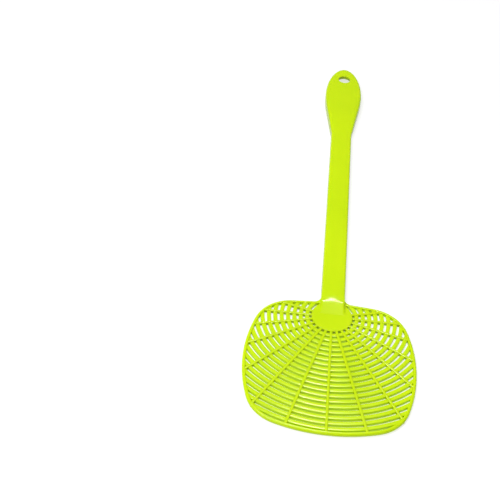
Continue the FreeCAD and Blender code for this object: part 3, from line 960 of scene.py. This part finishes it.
class SWATTER_OT_arcs(bpy.types.Operator):
    """Build the arc bars, which run on under the spokes and into the rim"""

    bl_idname = "swatter.arcs"
    bl_label = "Arc bars"

    def execute(self, context):
        head = context.scene.swatter_head
        polygon = middle_line(head)
        rows = []
        for ring in range(head.arc_count):
            rows += ring_rows(head.first_arc + ring * head.arc_pitch, polygon)
        low = BAR_LOW.z * head.arc_drop
        material = shared_plastic("web_plastic")
        obj = make_bars(
            "arc_bars", rows, head.arc_width, low, BAR_HIGH.z, head.arc_round, ARC_STEP, material
        )
        finish_piece(obj, "head", material, nodes_named("bars_"))
        return {"FINISHED"}


class SWATTER_OT_spokes(bpy.types.Operator):
    """Build the straight spokes from the hub to the rim"""

    bl_idname = "swatter.spokes"
    bl_label = "Spokes"

    def execute(self, context):
        head = context.scene.swatter_head
        polygon = middle_line(head)
        inner = HUB_RADIUS - head.spoke_root
        rows = []
        for k in range(-head.spokes_aside, head.spokes_aside + 1):
            rows.append(spoke_row(-math.pi / 2 + k * head.spoke_step, inner, polygon))
        material = shared_plastic("moulded_plastic")
        low = SPOKE_LOW.z
        high = SPOKE_HIGH.z
        obj = make_bars(
            "spokes", rows, head.spoke_width, low, high, head.spoke_round, SPOKE_STEP, material
        )
        finish_piece(obj, "head", material, nodes_named("spoke_"))
        return {"FINISHED"}


class SWATTER_OT_handle(bpy.types.Operator):
    """Build hub, neck, stem and grip as the one smooth shell that they are"""

    bl_idname = "swatter.handle"
    bl_label = "Handle and hub"

    def execute(self, context):
        handle = context.scene.swatter_handle
        obj = closed_shell("handle_and_hub", half_columns(handle))
        cut_away(obj, cavity_tool(handle))
        cut_away(obj, hole_tool(handle))
        tidy_surface(obj)
        crease_across(obj, along(handle.ramp_foot), HUB_HIGH.z - handle.hub_round)
        finish_piece(
            obj, None, shared_plastic("moulded_plastic"),
            ["hub_disc", "neck_ramp", "neck_flexure", "stem_channel", "grip_shell"],
        )
        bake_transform(obj)
        return {"FINISHED"}


class SWATTER_OT_ribs(bpy.types.Operator):
    """Build the stiffening ribs inside stem and grip"""

    bl_idname = "swatter.ribs"
    bl_label = "Ribs"

    def execute(self, context):
        handle = context.scene.swatter_handle
        material = shared_plastic("moulded_plastic")
        plans = (
            ("stem_long_rib", "stem_spine_rib", 0),
            ("stem_ribs", "stem_cross_ribs", handle.stem_ribs),
            ("grip_long_rib", "grip_spine_rib", 0),
            ("grip_ribs", "grip_cross_ribs", handle.grip_ribs),
        )
        for name, node, crossing in plans:
            low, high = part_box(node)
            top = high.z + handle.rib_root
            if crossing:
                rows = cross_rib_rows(low.y, high.y, crossing, handle)
                thick = handle.rib_thick
            else:
                rows = long_rib_rows(low.y, high.y)
                thick = handle.spine_thick
            obj = make_bars(name, rows, thick, low.z, top, handle.rib_round, RIB_STEP, material)
            finish_piece(obj, "handle", material, [node])
        return {"FINISHED"}


class SWATTER_OT_collar(bpy.types.Operator):
    """Build the collar that lines the hang hole under the deck"""

    bl_idname = "swatter.collar"
    bl_label = "Collar"

    def execute(self, context):
        handle = context.scene.swatter_handle
        outer = COLLAR_HIGH.x
        low = COLLAR_LOW.z
        edge = handle.rib_round
        profile = [(outer, COLLAR_HIGH.z)]
        for centre, begin in ((outer - edge, 0), (handle.hole_radius + edge, -90)):
            for k in range(COLLAR_STEPS + 1):
                way = math.radians(begin - 90 * k / COLLAR_STEPS)
                profile.append((centre + edge * math.cos(way), low + edge + edge * math.sin(way)))
        profile.append((handle.hole_radius, COLLAR_HIGH.z))
        obj = lathe("hole_collar", profile, HOLE_Y)
        finish_piece(obj, "handle", shared_plastic("moulded_plastic"), ["hang_hole_collar"])
        return {"FINISHED"}


class SWATTER_OT_stage(bpy.types.Operator):
    """Build the floor, the lights and the camera"""

    bl_idname = "swatter.stage"
    bl_label = "Stage"

    def execute(self, context):
        looks = context.scene.swatter_looks
        make_floor(looks)
        make_lights(looks)
        make_camera(context)
        return {"FINISHED"}


# ------------------------------------------------------------------ stage

FLOOR_SPAN = 6.0
KEY_PLACE = Vector((-0.5, -0.25, 1.25))
KEY_TARGET = Vector((0, -0.1, 0))
KEY_SIZE = (1.0, 1.0)
CREST_LIGHT_SPOT = Vector((1 * MM, along(15.3 * MM), STEM_HIGH.z))
CREST_LIGHT_RISE = math.radians(62.5)
CREST_LIGHT_ASIDE = 0.035
CREST_LIGHT_DISTANCE = 2
CREST_LIGHT_SIZE = (0.21, 0.21)
CAMERA_FROM_HUB = Vector((-44.5, -556.1, 575.5)) * MM
CAMERA_TURN = Euler((math.radians(47.195), math.radians(-3.439), math.radians(5.379)))
CAMERA_LENS = 75.84


def make_floor(looks):
    """A plain pale floor under the object."""
    span = FLOOR_SPAN
    corners = [(-span, -span, 0), (span, -span, 0), (span, span, 0), (-span, span, 0)]
    floor = mesh_object("floor", corners, [(0, 1, 2, 3)])
    material = bpy.data.materials.new("floor_paper")
    material.use_nodes = True
    material.node_tree.nodes.clear()
    graph = Graph(material.node_tree)
    paper = graph.add(
        "ShaderNodeBsdfPrincipled",
        {},
        {
            "Base Color": rgba(looks.floor_tone),
            "Roughness": 0.9,
            "Specular IOR Level": 0.0,
            "Emission Color": (1, 1, 1, 1),
            "Emission Strength": looks.floor_glow,
        },
    )
    graph.add("ShaderNodeOutputMaterial", {}, {"Surface": paper})
    floor.data.materials.append(material)


def area_light(name, place, target, size, power):
    """A soft square light at a place, turned to a target."""
    data = bpy.data.lights.new(name, "AREA")
    data.shape = "RECTANGLE"
    data.size, data.size_y = size
    data.energy = power
    light = bpy.data.objects.new(name, data)
    light.location = place
    light.rotation_euler = (target - place).to_track_quat("-Z", "Y").to_euler()
    bpy.context.scene.collection.objects.link(light)
    return light


def make_lights(looks):
    """Even white surroundings, a large soft light overhead, and a small one for the crest."""
    world = bpy.data.worlds.new("studio")
    world.use_nodes = True
    world.node_tree.nodes.clear()
    graph = Graph(world.node_tree)
    seen = graph.add("ShaderNodeLightPath", output="Is Camera Ray")
    strength = seen * (looks.backdrop_light - looks.world_light) + looks.world_light
    background = graph.add(
        "ShaderNodeBackground", {}, {"Color": (1, 1, 1, 1), "Strength": strength}
    )
    graph.add("ShaderNodeOutputWorld", {}, {"Surface": background})
    bpy.context.scene.world = world
    area_light("key", KEY_PLACE, KEY_TARGET, KEY_SIZE, looks.key_light)
    away = Vector((CREST_LIGHT_ASIDE, math.cos(CREST_LIGHT_RISE), math.sin(CREST_LIGHT_RISE)))
    place = CREST_LIGHT_SPOT + away * CREST_LIGHT_DISTANCE
    area_light("crest", place, CREST_LIGHT_SPOT, CREST_LIGHT_SIZE, looks.crest_light)


def make_camera(context):
    """The camera, looking down at the head from in front of it."""
    data = bpy.data.cameras.new("camera")
    data.lens = CAMERA_LENS
    data.clip_start = 0.01
    camera = bpy.data.objects.new("camera", data)
    camera.location = CAMERA_FROM_HUB + Vector((0, HUB_Y, 0))
    camera.rotation_euler = CAMERA_TURN
    context.scene.collection.objects.link(camera)
    context.scene.camera = camera


class SWATTER_PT_panel(bpy.types.Panel):
    """The swatter's pieces, sizes and colours"""

    bl_idname = "SWATTER_PT_panel"
    bl_label = "Fly Swatter"
    bl_space_type = "VIEW_3D"
    bl_region_type = "UI"
    bl_category = "Fly Swatter"

    def draw(self, context):
        for operator in OPERATORS:
            self.layout.operator(operator.bl_idname)
        for group_name in GROUPS:
            group = getattr(context.scene, group_name)
            box = self.layout.box()
            for name in group.__annotations__:
                box.prop(group, name)


OPERATORS = (
    SWATTER_OT_rim,
    SWATTER_OT_arcs,
    SWATTER_OT_spokes,
    SWATTER_OT_handle,
    SWATTER_OT_ribs,
    SWATTER_OT_collar,
    SWATTER_OT_stage,
)
GROUPS = {
    "swatter_head": SwatterHead,
    "swatter_handle": SwatterHandle,
    "swatter_looks": SwatterLooks,
}


def register():
    """Add the properties, operators and panel."""
    for group in GROUPS.values():
        bpy.utils.register_class(group)
    for operator in OPERATORS:
        bpy.utils.register_class(operator)
    bpy.utils.register_class(SWATTER_PT_panel)
    for name, group in GROUPS.items():
        setattr(bpy.types.Scene, name, PointerProperty(type=group))


def unregister():
    """Take them away again."""
    for name in GROUPS:
        delattr(bpy.types.Scene, name)
    bpy.utils.unregister_class(SWATTER_PT_panel)
    for operator in reversed(OPERATORS):
        bpy.utils.unregister_class(operator)
    for group in reversed(GROUPS.values()):
        bpy.utils.unregister_class(group)


def main():
    """Build every piece and the stage."""
    register()
    bpy.context.scene.view_settings.view_transform = "Standard"
    bpy.ops.swatter.rim()
    bpy.ops.swatter.arcs()
    bpy.ops.swatter.spokes()
    bpy.ops.swatter.handle()
    bpy.ops.swatter.ribs()
    bpy.ops.swatter.collar()
    bpy.ops.swatter.stage()


if __name__ == "__main__":
    main()
